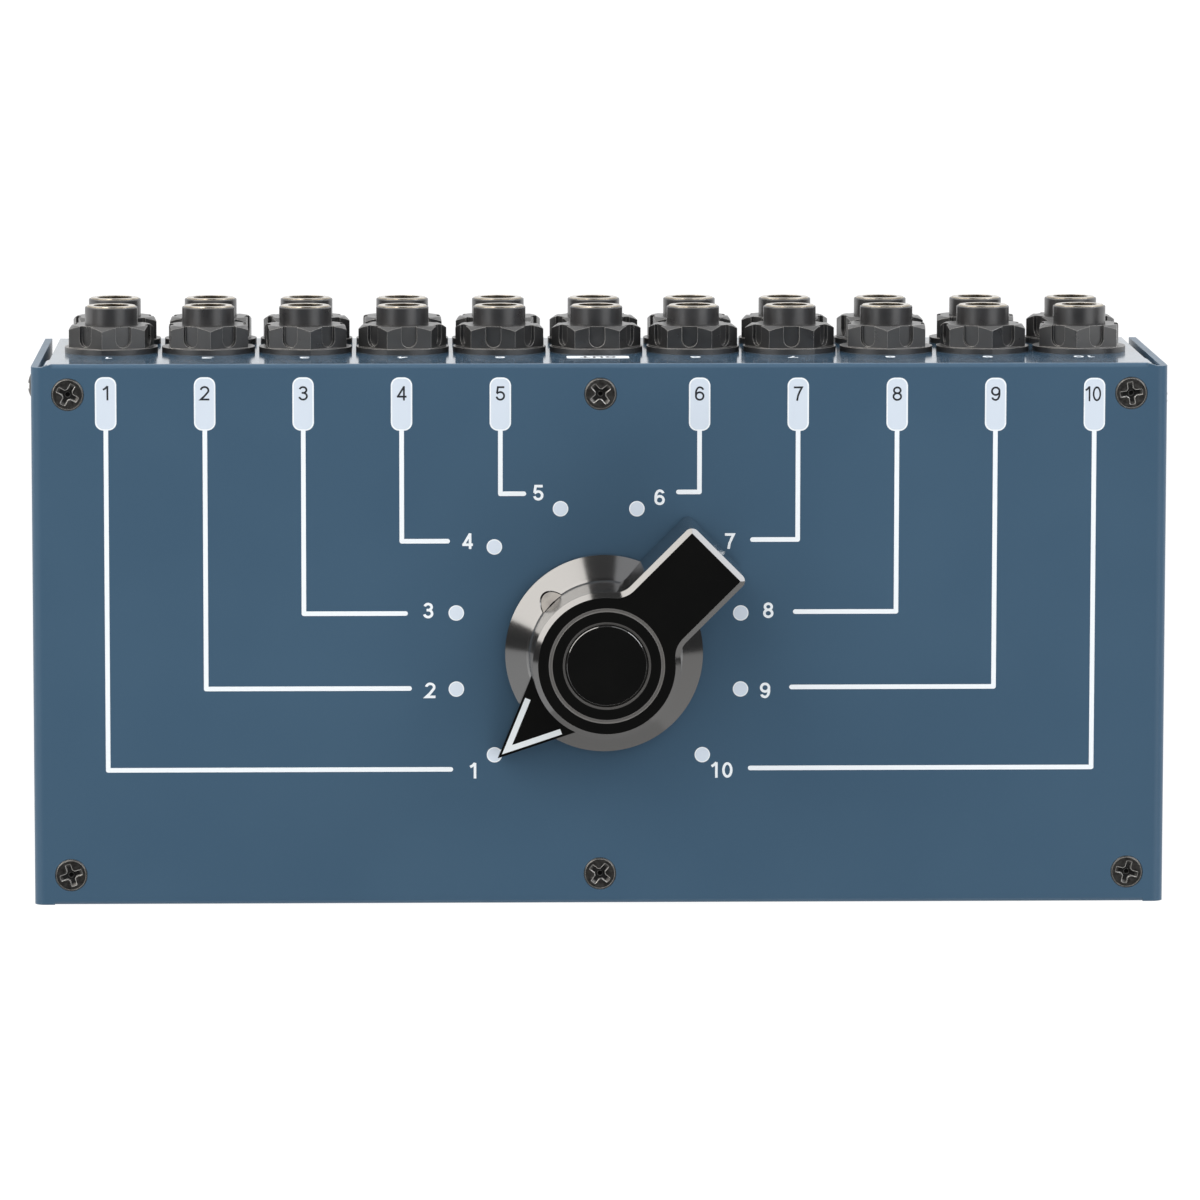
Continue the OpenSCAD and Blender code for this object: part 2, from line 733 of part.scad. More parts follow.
module switch_shaft() {
    clip_z = sheet + bush_out + clear_gap;
    flat_z = sheet + knob_gap + hollow_h;
    collar_z = -index_h - clear_gap - collar_h;
    color("#b8bcc0") at_switch() {
        difference() {
            translate([0, 0, collar_z]) cylinder(d = shaft_d, h = shaft_top - collar_z);
            translate([0, 0, clip_z]) ring(shaft_d, shaft_d / 2 - clip_groove, clip_t);
            rotate([0, 0, first_angle])
                translate([-shaft_d, -flat_r - shaft_d, flat_z]) cube([2 * shaft_d, shaft_d, shaft_top]);
        }
        translate([0, 0, collar_z]) cylinder(r = shaft_d / 2 + collar_w, h = collar_h);
        rotate([0, 0, first_angle]) translate([-blade_w / 2, -blade_t / 2, blade_end])
            cube([blade_w, blade_t, collar_z + collar_h / 2 - blade_end]);
    }
}

module shaft_clip() {
    color("#8a8d91") at_switch() translate([0, 0, sheet + bush_out + clear_gap]) difference() {
        ring(shaft_d / 2 + clip_w, shaft_d / 2 - clip_groove, clip_t);
        rotate([0, 0, first_angle]) translate([0, -flat_r / 2, -cut])
            cube([shaft_d, flat_r, clip_t + 2 * cut]);
    }
}

module switch_deck(i) {
    tongue_len = board_face - tongue_gap - shaft_y;
    color("#7a4a2a") at_switch() translate([0, 0, deck_z(i) - board_t]) linear_extrude(board_t)
        difference() {
            union() {
                rounded_2d(index_w, index_w, index_r);
                translate([-tongue_w / 2, 0]) square([tongue_w, tongue_len]);
            }
            circle(r = rotor_d / 2 + run_gap);
            at_rods() circle(d = rod_d + 2 * fit_gap);
        }
}

module switch_rotor(i) {
    color("#d8d2c0") at_switch() rotate([0, 0, first_angle])
        translate([0, 0, deck_z(i) - board_t - rotor_lip]) difference() {
            cylinder(d = rotor_d, h = board_t + 2 * rotor_lip);
            translate([-blade_w / 2 - fit_gap, -blade_t / 2 - fit_gap, -cut])
                cube([blade_w + 2 * fit_gap, blade_t + 2 * fit_gap, board_t + 2 * rotor_lip + 2 * cut]);
        }
}

// Fixed contacts of every deck: one for each position and the common one at the front
module deck_contacts() {
    angles = concat([for (p = [0 : positions - 1]) first_angle - p * detent_step], [270]);
    color("#c8b070") at_switch() for (i = [0 : last_deck], a = angles)
        rotate([0, 0, a]) translate([contact_in, -contact_w / 2, deck_z(i)])
            cube([contact_out - contact_in, contact_w, contact_t]);
}

module rotor_contacts() {
    color("#c8b070") at_switch() rotate([0, 0, first_angle]) for (i = [0 : last_deck])
        translate([0, 0, deck_z(i) + rotor_lip]) {
            ring(rotor_d / 2, blade_w, contact_t);
            translate([rotor_d / 2 - cut, -contact_w / 2, 0])
                cube([wiper_reach - rotor_d / 2 + cut, contact_w, contact_t]);
        }
}

module deck_connectors() {
    block_w = tongue_w + 2 * connector_wall;
    block_h = board_t + 2 * connector_wall;
    color("#e6e2d4") at_switch() for (i = [0 : last_deck])
        translate([0, board_face - shaft_y, deck_z(i) - board_t / 2]) difference() {
            translate([-block_w / 2, -connector_d, -block_h / 2]) cube([block_w, connector_d, block_h]);
            translate([-tongue_w / 2 - fit_gap, -connector_d - cut, -board_t / 2 - fit_gap])
                cube([tongue_w + 2 * fit_gap, connector_d - tongue_gap + cut + fit_gap,
                      board_t + 2 * fit_gap]);
        }
}

module tie_rods() {
    rod_top = rod_seat - index_h;
    rod_low = deck_z(last_deck) - board_t - tie_nut_h - rod_end;
    color("#b8bcc0") at_switch() at_rods()
        translate([0, 0, rod_low]) cylinder(d = rod_d, h = rod_top - rod_low);
}

module tie_spacers() {
    color("#b8bcc0") at_switch() at_rods() {
        translate([0, 0, deck_z(0)]) ring(spacer_d / 2, rod_d / 2 + fit_gap, deck_drop);
        for (i = [1 : last_deck])
            translate([0, 0, deck_z(i)]) ring(spacer_d / 2, rod_d / 2 + fit_gap, deck_pitch - board_t);
    }
}

module tie_nuts() {
    color("#b8bcc0") at_switch() at_rods()
        translate([0, 0, deck_z(last_deck) - board_t - tie_nut_h]) difference() {
            cylinder(d = tie_nut_d, h = tie_nut_h, $fn = 6);
            translate([0, 0, -cut]) cylinder(d = rod_d + 2 * fit_gap, h = tie_nut_h + 2 * cut);
        }
}

// Hub with its flared skirt and bevelled top, narrowed by an inset
module knob_hub(inset) {
    skirt_r = skirt_d / 2 - inset;
    foot_r = hub_foot_r - inset;
    wall_r = hub_r - inset;
    rotate_extrude()
        polygon([[0, 0], [skirt_r, 0], [skirt_r, skirt_edge], [foot_r + shoulder, skirt_rise],
                 [foot_r, skirt_rise + shoulder], [wall_r, knob_h - bevel_h], [wall_r - bevel, knob_h],
                 [0, knob_h]]);
}

// Grip bar along -X, bevelled along its sides and across its end
module knob_bar() {
    intersection() {
        rotate([90, 0, -90]) linear_extrude(bar_reach)
            polygon([[-bar_half, 0], [bar_half, 0], [bar_half, knob_h - bevel_h],
                     [bar_half - bevel, knob_h], [bevel - bar_half, knob_h],
                     [-bar_half, knob_h - bevel_h]]);
        translate([0, bar_half, 0]) rotate([90, 0, 0]) linear_extrude(bar_w)
            polygon([[0, 0], [-bar_reach, 0], [-bar_reach, knob_h - bevel_h], [bevel - bar_reach, knob_h],
                     [0, knob_h]]);
        linear_extrude(knob_h)
            translate([-bar_reach / 2, 0]) rounded_2d(bar_reach, bar_w, bar_corner_r);
    }
}

// Hollow corner between the hub and one side of the grip bar
module knob_fillet() {
    difference() {
        linear_extrude(knob_h)
            polygon([[0, 0], [-fillet_x, 0], [-fillet_x, bar_half], [-fillet_x, fillet_y],
                     [-fillet_x * hub_share, fillet_y * hub_share]]);
        translate([-fillet_x, fillet_y, -cut]) cylinder(r = fillet_r, h = knob_h + 2 * cut);
        translate([-fillet_x, fillet_y, knob_h - bevel_h])
            cylinder(r1 = fillet_r, r2 = fillet_r + 2 * bevel, h = 2 * bevel_h);
    }
}

// Plan of the pointer, inset from its edges
module pointer_2d(inset, start) {
    polygon([[start, -pointer_half(inset, start)],
             [pointer_reach - inset / sin(pointer_angle / 2), 0],
             [start, pointer_half(inset, start)]]);
}

// Layer from a depth under the sloping top of the pointer to a height over it
module pointer_layer(depth, over, start) {
    translate([0, skirt_d / 2, 0]) rotate([90, 0, 0]) linear_extrude(skirt_d)
        polygon([[start, pointer_top(start) - depth], [pointer_reach, pointer_tip_h - depth],
                 [pointer_reach, pointer_tip_h + over], [start, pointer_top(start) + over]]);
}

// One of the two white lines: a strip along an edge of the pointer, from its tip
module pointer_strip_2d() {
    translate([pointer_reach - inlay_edge / sin(pointer_angle / 2), 0])
        rotate([0, 0, 180 - pointer_angle / 2]) square([inlay_len, inlay_w]);
}

module knob_pointer() {
    root = hub_r - fillet_r;
    intersection() {
        linear_extrude(knob_h) pointer_2d(0, root);
        translate([0, skirt_d / 2, 0]) rotate([90, 0, 0]) linear_extrude(skirt_d)
            polygon([[root, 0], [pointer_reach, 0], [pointer_reach, pointer_tip_h],
                     [root, pointer_top(root)]]);
    }
}

// Both white lines, standing a height over the pointer's top
module pointer_strips(over) {
    intersection() {
        linear_extrude(knob_h) intersection() {
            pointer_2d(inlay_edge, hub_r);
            union() {
                pointer_strip_2d();
                mirror([0, 1, 0]) pointer_strip_2d();
            }
        }
        pointer_layer(inlay_depth, over, hub_r);
    }
}

// Line of the set screw, along -Y from the axis
module at_set_screw() {
    translate([0, 0, set_screw_h]) rotate([90, 0, 0]) children();
}

// Recess for the round insert, with a chamfered edge
module cap_recess() {
    r = cap_d / 2 + cap_gap;
    edge_h = cap_edge * edge_slope;
    translate([0, 0, knob_h - cap_t]) rotate_extrude()
        polygon([[0, -cap_sink], [r, -cap_sink], [r, cap_t - edge_h], [r + 2 * cap_edge, cap_t + edge_h],
                 [0, cap_t + edge_h]]);
}

module knob_body() {
    ring_depth = ring_w / 2 * edge_slope;
    color("#101012") at_knob() difference() {
        union() {
            knob_hub(0);
            knob_bar();
            knob_fillet();
            mirror([0, 1, 0]) knob_fillet();
            knob_pointer();
        }
        pointer_strips(cut);
        cap_recess();
        rotate_extrude() translate([ring_d / 2, knob_h])
            polygon([[0, -ring_depth], [ring_w, ring_depth], [-ring_w, ring_depth]]);
        translate([0, 0, -cut]) cylinder(d = hollow_d, h = hollow_h + cut);
        cylinder(d = brass_d + 2 * fit_gap, h = hollow_h + brass_len + fit_gap);
        at_set_screw() cylinder(d = set_screw_d + 2 * fit_gap, h = skirt_d / 2);
    }
}

module knob_insert() {
    r = cap_d / 2;
    color("#0c0c0e") at_knob() translate([0, 0, knob_h - cap_t - cap_sink]) rotate_extrude()
        polygon([[0, 0], [r, 0], [r, cap_t - cap_edge * edge_slope], [r - cap_edge, cap_t], [0, cap_t]]);
}

module pointer_lines() {
    color("#eef2f4") at_knob() pointer_strips(0);
}

module knob_brass_bush() {
    color("#c8a24a") at_knob() difference() {
        translate([0, 0, hollow_h]) ring(brass_d / 2, shaft_d / 2 + fit_gap, brass_len);
        at_set_screw() cylinder(d = set_screw_d + 2 * fit_gap, h = brass_d);
    }
}

module knob_set_screw() {
    color("#3a3c40") at_knob() difference() {
        intersection() {
            at_set_screw() translate([0, 0, flat_r + fit_gap]) cylinder(d = set_screw_d, h = skirt_d / 2);
            knob_hub(set_screw_sink);
        }
        at_set_screw() translate([0, 0, hub_r - hex_key_depth])
            cylinder(d = hex_key_d, h = skirt_d / 2, $fn = 6);
    }
}

top_cover();
chassis();
rubber_feet();
foot_screws();
panel_screws();
side_screws();
for (r = [0 : 1], c = [0 : len(columns) - 1])
    jack_socket(c, r);
jack_nuts(0);  // jack_nuts_left
jack_nuts(1);  // jack_nuts_right
jack_ferrules();
jack_terminals();
jack_board();
index_housing();
threaded_bush();
lock_washer();
panel_nut();
switch_shaft();
shaft_clip();
for (i = [0 : last_deck])
    switch_deck(i);
for (i = [0 : last_deck])
    switch_rotor(i);
deck_contacts();
rotor_contacts();
deck_connectors();
tie_rods();
tie_spacers();
tie_nuts();
knob_body();
knob_insert();
pointer_lines();
knob_brass_bush();
knob_set_screw();
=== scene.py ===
import json
import math

import bmesh
import bpy
from mathutils import Matrix, Vector
from mathutils.geometry import delaunay_2d_cdt


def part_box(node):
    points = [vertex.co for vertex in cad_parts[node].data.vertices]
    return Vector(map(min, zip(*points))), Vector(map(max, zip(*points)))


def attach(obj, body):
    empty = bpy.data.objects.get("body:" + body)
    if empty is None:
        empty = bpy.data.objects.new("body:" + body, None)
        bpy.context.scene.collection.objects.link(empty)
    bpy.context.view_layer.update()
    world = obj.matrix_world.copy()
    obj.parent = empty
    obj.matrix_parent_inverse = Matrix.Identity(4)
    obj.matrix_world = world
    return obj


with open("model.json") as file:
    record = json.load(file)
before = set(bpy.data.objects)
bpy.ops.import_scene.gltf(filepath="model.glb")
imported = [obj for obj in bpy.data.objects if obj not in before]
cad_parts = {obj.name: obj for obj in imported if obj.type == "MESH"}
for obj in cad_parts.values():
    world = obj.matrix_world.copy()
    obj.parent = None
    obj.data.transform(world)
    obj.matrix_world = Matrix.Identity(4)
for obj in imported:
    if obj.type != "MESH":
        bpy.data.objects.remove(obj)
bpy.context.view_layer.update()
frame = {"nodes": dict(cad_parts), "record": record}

MM = 0.001

# Places on the solids that print and materials refer to
PANEL_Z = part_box("top_cover")[1].z
REAR_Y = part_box("chassis")[1].y
KNOB_AXIS = (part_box("knob_insert")[0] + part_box("knob_insert")[1]) / 2
JACK_COLUMNS = ["input_1", "input_2", "input_3", "input_4", "input_5", "output",
                "input_6", "input_7", "input_8", "input_9", "input_10"]
JACK_X = {name: sum(v.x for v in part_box(f"{name}_left_jack")) / 2 / MM for name in JACK_COLUMNS}


# Procedural materials

BEVEL_SAMPLES = 6

# Range that most of a noise lies in, and upward part of the normal where a face begins to count as flat
NOISE_LOW, NOISE_HIGH = 0.3, 0.7
FLAT_FROM, FLAT_FULL = 0.90, 0.95

# Share of the half width over which a mask is full, before its soft border
RING_FULL, LEVEL_FULL = 1 / 1.2, 0.85

# Sockets of the Mix node by number: its two values and its output, for numbers and for colours
NUMBER_A, NUMBER_B, NUMBER_OUT = 2, 3, 0
COLOUR_A, COLOUR_B, COLOUR_OUT = 6, 7, 2


class Look:
    """A Principled material whose textures are measured in millimetres on the piece itself."""

    def __init__(self, name, settings):
        self.material = bpy.data.materials.new(name)
        self.material.use_nodes = True
        tree = self.material.node_tree
        self.nodes = tree.nodes
        self.links = tree.links
        self.shader = tree.nodes["Principled BSDF"]
        self.place = self.nodes.new("ShaderNodeTexCoord").outputs["Object"]
        for socket, value in settings.items():
            self.shader.inputs[socket].default_value = value

    def join(self, source, node, socket):
        self.links.new(source, node.inputs[socket])

    def add(self, kind, settings=None, inputs=None):
        node = self.nodes.new(kind)
        for key, value in (settings or {}).items():
            setattr(node, key, value)
        for socket, value in (inputs or {}).items():
            node.inputs[socket].default_value = value
        return node

    def sums(self, operation, first, second=None, clamp=False):
        """Output of a Math node; second may be a number or an output."""
        node = self.add("ShaderNodeMath", {"operation": operation, "use_clamp": clamp})
        self.join(first, node, 0)
        if isinstance(second, bpy.types.NodeSocket):
            self.join(second, node, 1)
        elif second is not None:
            node.inputs[1].default_value = second
        return node.outputs[0]

    def spread(self, value, low, high, to_low=0.0, to_high=1.0):
        """Maps the range from low to high onto the range from to_low to to_high."""
        node = self.add("ShaderNodeMapRange", {"clamp": True},
                        {"From Min": low, "From Max": high, "To Min": to_low, "To Max": to_high})
        self.join(value, node, "Value")
        return node.outputs["Result"]

    def stretched(self, stretch):
        """Object coordinates pulled out along an axis, for brushed or turned lines."""
        node = self.add("ShaderNodeMapping", inputs={"Scale": stretch})
        self.join(self.place, node, "Vector")
        return node.outputs["Vector"]

    def noise(self, size_mm, detail=3.0, stretch=None):
        node = self.add("ShaderNodeTexNoise", inputs={"Scale": 1 / (size_mm * MM), "Detail": detail})
        self.join(self.stretched(stretch) if stretch else self.place, node, "Vector")
        return node.outputs["Fac"]

    def rounded(self, radius_mm):
        """Normal of the surface with its edges rounded."""
        node = self.add("ShaderNodeBevel", {"samples": BEVEL_SAMPLES}, {"Radius": radius_mm * MM})
        return node.outputs["Normal"]

    def edges(self, radius_mm, gain):
        """Mask that is 1 on sharp edges and 0 on flat ground."""
        dot = self.add("ShaderNodeVectorMath", {"operation": "DOT_PRODUCT"})
        self.join(self.rounded(radius_mm), dot, 0)
        self.join(self.add("ShaderNodeNewGeometry").outputs["Normal"], dot, 1)
        return self.spread(dot.outputs["Value"], 1.0, 1.0 - 1.0 / gain)

    def around(self, middle, radius_mm, width_mm):
        """Mask that is 1 in a ring about an upright axis."""
        off = self.add("ShaderNodeVectorMath", {"operation": "SUBTRACT"}, {1: middle})
        self.join(self.place, off, 0)
        flat = self.add("ShaderNodeVectorMath", {"operation": "MULTIPLY"}, {1: (1, 1, 0)})
        self.join(off.outputs[0], flat, 0)
        reach = self.add("ShaderNodeVectorMath", {"operation": "LENGTH"})
        self.join(flat.outputs[0], reach, 0)
        away = self.sums("ABSOLUTE", self.sums("SUBTRACT", reach.outputs["Value"], radius_mm * MM))
        half = width_mm / 2 * MM
        return self.spread(away, half, half * RING_FULL)

    def flats(self):
        """Mask that is 1 on level faces and gentle slopes, and 0 on steep ones."""
        parts = self.add("ShaderNodeSeparateXYZ")
        self.join(self.add("ShaderNodeNewGeometry").outputs["Normal"], parts, 0)
        return self.spread(parts.outputs["Z"], FLAT_FROM, FLAT_FULL)

    def level(self, low, high):
        """Mask that is 1 between two heights, in metres."""
        parts = self.add("ShaderNodeSeparateXYZ")
        self.join(self.place, parts, 0)
        away = self.sums("ABSOLUTE", self.sums("SUBTRACT", parts.outputs["Z"], (low + high) / 2))
        half = (high - low) / 2
        return self.spread(away, half, half * LEVEL_FULL)

    def colours(self, mask, first, second):
        """Colour that runs from first to second with the mask; first may be a colour or an output."""
        node = self.add("ShaderNodeMix", {"data_type": "RGBA"})
        self.join(mask, node, 0)
        if isinstance(first, bpy.types.NodeSocket):
            self.join(first, node, COLOUR_A)
        else:
            node.inputs[COLOUR_A].default_value = (*first, 1)
        node.inputs[COLOUR_B].default_value = (*second, 1)
        return node.outputs[COLOUR_OUT]

    def colour(self, output):
        self.join(output, self.shader, "Base Color")

    def roughness(self, mask, low, high):
        self.join(self.spread(mask, NOISE_LOW, NOISE_HIGH, low, high), self.shader, "Roughness")

    def relief(self, *layers, round_mm=0.0):
        """Bump from layers of (height, depth in mm), over edges rounded by a small radius."""
        normal = self.rounded(round_mm) if round_mm else None
        for height, depth_mm in layers:
            node = self.add("ShaderNodeBump", inputs={"Strength": 1.0, "Distance": depth_mm * MM})
            self.join(height, node, "Height")
            if normal:
                self.join(normal, node, "Normal")
            normal = node.outputs["Normal"]
        self.join(normal, self.shader, "Normal")
        return normal


PAINT_IOR = 1.46
PAINT_DEEP = (0.0488, 0.1002, 0.1608)
PAINT_FRESH = (0.0524, 0.1058, 0.1676)
PAINT_SPECK, SPECK_SHARE = (0.0680, 0.1270, 0.1950), 0.18
# Lighter colour painted on the paint's sharp edges as a highlight, and how much of it is mixed in
PAINT_EDGE_HIGHLIGHT, EDGE_HIGHLIGHT_SHARE = (0.0900, 0.1600, 0.2300), 0.45


def paint_look(name, rough, gloss):
    """Satin blue-grey powder paint on the folded sheet, with a lighter colour on its sharp edges as a painted
    highlight.
    """
    look = Look(name, {"IOR": PAINT_IOR, "Specular IOR Level": gloss})
    grain = look.noise(size_mm=0.4, detail=2)
    cloud = look.spread(look.noise(size_mm=30, detail=2), 0.35, 0.65)
    ground = look.colours(cloud, PAINT_DEEP, PAINT_FRESH)
    speck = look.colours(look.spread(grain, 0.58, 0.75, 0, SPECK_SHARE), ground, PAINT_SPECK)
    # Painted highlight: sharp edges get a lighter colour
    edge = look.spread(look.edges(radius_mm=0.35, gain=6), 0, 1, 0, EDGE_HIGHLIGHT_SHARE)
    look.colour(look.colours(edge, speck, PAINT_EDGE_HIGHLIGHT))
    look.roughness(look.noise(size_mm=1.4), *rough)
    look.relief((grain, 0.0014), (look.noise(size_mm=1.6, detail=2), 0.004), round_mm=0.25)
    return look.material


def moulded_look(name, dark, light, rough, grain_mm=0.3, edge=None, ior=1.5):
    """Moulded plastic with a fine skin; the edge colour is a lighter colour painted on its sharp edges as a
    highlight.
    """
    look = Look(name, {"IOR": ior})
    ground = look.colours(look.spread(look.noise(size_mm=6), 0.35, 0.65), dark, light)
    # Painted highlight: sharp edges get the lighter edge colour
    if edge:
        ground = look.colours(look.edges(radius_mm=0.12, gain=8), ground, edge)
    look.colour(ground)
    look.roughness(look.noise(size_mm=2.2), *rough)
    skin, swell = look.noise(grain_mm, detail=2), look.noise(size_mm=4, detail=1)
    look.relief((skin, 0.005), (swell, 0.012), round_mm=0.15)
    return look.material


PHENOLIC_IOR, PHENOLIC_LEVEL = 1.5, 0.10
PHENOLIC_COAT_IOR = 2.2
PHENOLIC_DEEP = (0.0042, 0.0044, 0.0044)
PHENOLIC_PALE = (0.0064, 0.0064, 0.0062)


def knob_look(name, rough, polish, rings):
    """Black phenolic, dull on its top faces and polished on its slopes, with faint wiping marks; rings
    about the knob's axis, given by radius and width in mm, colour and roughness, are either roughened and
    greyed, the grey being a painted sheen, or buffed."""
    look = Look(name, {"IOR": PHENOLIC_IOR, "Specular IOR Level": PHENOLIC_LEVEL,
                       "Coat IOR": PHENOLIC_COAT_IOR, "Coat Roughness": polish})
    ground = look.colours(look.noise(size_mm=9, detail=2), PHENOLIC_DEEP, PHENOLIC_PALE)
    wiping = look.noise(size_mm=1.6, detail=4, stretch=(1, 1, 0.25))
    gloss = look.spread(wiping, NOISE_LOW, NOISE_HIGH, *rough)
    coat = look.spread(look.flats(), 0, 1, 1, 0)
    for radius_mm, width_mm, colour, ring_rough in rings:
        ring = look.around(KNOB_AXIS, radius_mm, width_mm)
        # The grey colour of a roughened ring is a painted sheen
        ground = look.colours(ring, ground, colour)
        mixed = look.add("ShaderNodeMix", inputs={NUMBER_B: ring_rough})
        look.join(ring, mixed, 0)
        look.join(gloss, mixed, NUMBER_A)
        gloss = mixed.outputs[NUMBER_OUT]
        if ring_rough > polish:
            coat = look.sums("SUBTRACT", coat, ring, clamp=True)
    look.colour(ground)
    look.join(gloss, look.shader, "Roughness")
    look.join(coat, look.shader, "Coat Weight")
    skin, swell = look.noise(size_mm=0.8, detail=2), look.noise(size_mm=5, detail=1)
    look.join(look.relief((skin, 0.0010), (swell, 0.0080), round_mm=0.06), look.shader, "Coat Normal")
    return look.material


def metal_look(name, dark, light, rough, stretch=None, edge=None, edge_mm=0.16, cloud_mm=3, recess_shade=None):
    """Plated or machined metal with fine lines along one axis; the edge colour goes on sharp edges as bare
    metal brightened as a painted highlight, and the recess shade gives the lowest and highest level of a
    recess and the dark colour painted in it as shade."""
    look = Look(name, {"Metallic": 1.0})
    lay = look.noise(size_mm=0.35, stretch=stretch)
    ground = look.colours(look.spread(look.noise(cloud_mm), NOISE_LOW, NOISE_HIGH), dark, light)
    # Painted shade: a recess between two heights gets a dark colour
    if recess_shade:
        low, high, colour = recess_shade
        ground = look.colours(look.level(low, high), ground, colour)
    if edge:
        # Sharp edges get a bright metal colour: bare steel, made brighter still as a painted highlight
        ground = look.colours(look.edges(edge_mm, gain=4), ground, edge)
    look.colour(ground)
    look.roughness(lay, *rough)
    look.relief((lay, 0.003), round_mm=0.75 * edge_mm)
    return look.material


def board_look():
    """Green solder mask with paler tracks under it."""
    look = Look("solder_mask", {"IOR": 1.5})
    tracks = look.add("ShaderNodeTexWave", {"bands_direction": "X"}, {"Scale": 90.0, "Distortion": 1.5})
    look.join(look.place, tracks, "Vector")
    mask = look.spread(tracks.outputs["Fac"], 0.72, 0.80)
    look.colour(look.colours(mask, (0.020, 0.085, 0.035), (0.035, 0.140, 0.055)))
    look.roughness(look.noise(size_mm=2), 0.28, 0.38)
    look.relief((mask, 0.02))
    return look.material


def phenolic_look():
    """Brown laminate of the switch decks, with paper fibres."""
    look = Look("phenolic_board", {"IOR": 1.52})
    fibre = look.noise(size_mm=0.5, detail=4, stretch=(0.15, 1, 1))
    look.colour(look.colours(fibre, (0.120, 0.045, 0.016), (0.260, 0.110, 0.045)))
    look.roughness(look.noise(size_mm=2), 0.35, 0.5)
    look.relief((fibre, 0.008))
    return look.material


def ink_look(name, colour, worn):
    """Screen print: even ink with faint pinholes and a slightly soft surface."""
    look = Look(name, {"IOR": 1.47})
    pinholes = look.spread(look.noise(size_mm=0.35), 0.62, 0.78, 0, 0.5)
    look.colour(look.colours(pinholes, colour, worn))
    look.roughness(look.noise(size_mm=0.9), 0.42, 0.55)
    look.relief((look.noise(size_mm=0.3, detail=2), 0.002))
    return look.material


# Grey painted on the sharp edges of the black nylon as a highlight
NYLON_EDGE_HIGHLIGHT = (0.420, 0.405, 0.385)
# Bright steel colour on the black screws' edges: bare steel, and also a painted highlight
BARE_STEEL_HIGHLIGHT = (0.86, 0.85, 0.82)
NYLON_IOR = 1.8
ALONG_Y, ALONG_Z = (1, 0.2, 1), (1, 1, 0.2)

# Painted shade in the recesses of the panel's screws: lowest and highest level and the dark colour in them
SCREW_RECESS_SHADE = (PANEL_Z - 2.6 * MM, PANEL_Z - 0.1 * MM, (0.012, 0.012, 0.012))

# Rings on the knob's top: radius and width in mm, colour, roughness; the grey colours are painted sheen
GROOVE_RING_PAINTED_SHEEN = (11.45, 0.80, (0.150, 0.145, 0.140), 0.60)
RECESS_RING_PAINTED_SHEEN = (8.70, 0.60, (0.070, 0.068, 0.066), 0.45)
BUFFED_RIM = (8.25, 0.50, (0.006, 0.006, 0.006), 0.08)

# The record's slots: most looks take a dark colour, a light one and a range of roughness
LOOKS = {
    "blue_paint": paint_look("satin_paint", (0.335, 0.365), 0.30),
    "rubber": moulded_look("foot_rubber", (0.014, 0.014, 0.014), (0.024, 0.024, 0.023), (0.70, 0.85),
                           grain_mm=0.5),
    "zinc_screws": metal_look("zinc_plate_screws", (0.46, 0.48, 0.50), (0.58, 0.58, 0.57), (0.28, 0.42)),
    "black_screws": metal_look("black_nickel", (0.050, 0.049, 0.047), (0.110, 0.107, 0.103), (0.32, 0.44),
                               edge=BARE_STEEL_HIGHLIGHT, edge_mm=0.26, cloud_mm=0.7, recess_shade=SCREW_RECESS_SHADE),
    "black_oxide": metal_look("black_oxide", (0.080, 0.077, 0.075), (0.121, 0.117, 0.112), (0.14, 0.22)),
    "jack_plastic": moulded_look("black_nylon_jack", (0.020, 0.020, 0.021), (0.030, 0.029, 0.030),
                                 (0.27, 0.35), edge=NYLON_EDGE_HIGHLIGHT, ior=NYLON_IOR),
    "nut_plastic": moulded_look("black_nylon_nut", (0.020, 0.020, 0.021), (0.030, 0.030, 0.030),
                                (0.27, 0.35), edge=NYLON_EDGE_HIGHLIGHT, ior=NYLON_IOR),
    "nickel": metal_look("bright_nickel", (0.30, 0.255, 0.19), (0.58, 0.53, 0.44), (0.12, 0.22),
                         cloud_mm=3.2),
    "board": board_look(),
    "zinc_steel": metal_look("zinc_plate", (0.42, 0.43, 0.44), (0.56, 0.56, 0.55), (0.26, 0.42), ALONG_Y),
    "brass": metal_look("machined_brass", (0.50, 0.34, 0.12), (0.64, 0.47, 0.19), (0.24, 0.38), ALONG_Z),
    "deck_board": phenolic_look(),
    "rotor_plastic": moulded_look("ivory_rotor", (0.56, 0.52, 0.42), (0.66, 0.62, 0.52), (0.40, 0.55)),
    "connector_plastic": moulded_look("ivory_nylon", (0.68, 0.65, 0.55), (0.78, 0.75, 0.66), (0.40, 0.52)),
    "knob_black": knob_look("polished_phenolic", (0.10, 0.17), 0.13, [GROOVE_RING_PAINTED_SHEEN, RECESS_RING_PAINTED_SHEEN]),
    "knob_insert": knob_look("satin_phenolic", (0.20, 0.26), 0.08, [BUFFED_RIM]),
    "white_fill": ink_look("white_filler", (0.78, 0.83, 0.86), (0.66, 0.71, 0.75)),
}
for part in frame["record"]["subparts"]:
    frame["nodes"][part["node"]].material_slots[0].material = LOOKS[part["material_slot"]]

# The chassis has a smoother coat than the cover
frame["nodes"]["chassis"].material_slots[0].material = paint_look("smooth_paint", (0.10, 0.13), 0.50)

PRINT_WHITE = ink_look("print_white", (0.88, 0.93, 0.97), (0.74, 0.80, 0.88))
PRINT_PALE = ink_look("print_pale", (0.70, 0.78, 0.88), (0.64, 0.72, 0.83))
PRINT_FIELD = ink_look("print_field", (0.66, 0.74, 0.84), (0.60, 0.68, 0.79))
PRINT_DARK = ink_look("print_dark", (0.010, 0.013, 0.020), (0.026, 0.032, 0.044))


# Printed marks: flat outlines in millimetres, joined into one outline and given the thickness of the ink

ARC_STEPS, CORNER_STEPS, DISC_STEPS, OVAL_STEPS = 28, 10, 48, 40
MITRE_LIMIT = 0.35


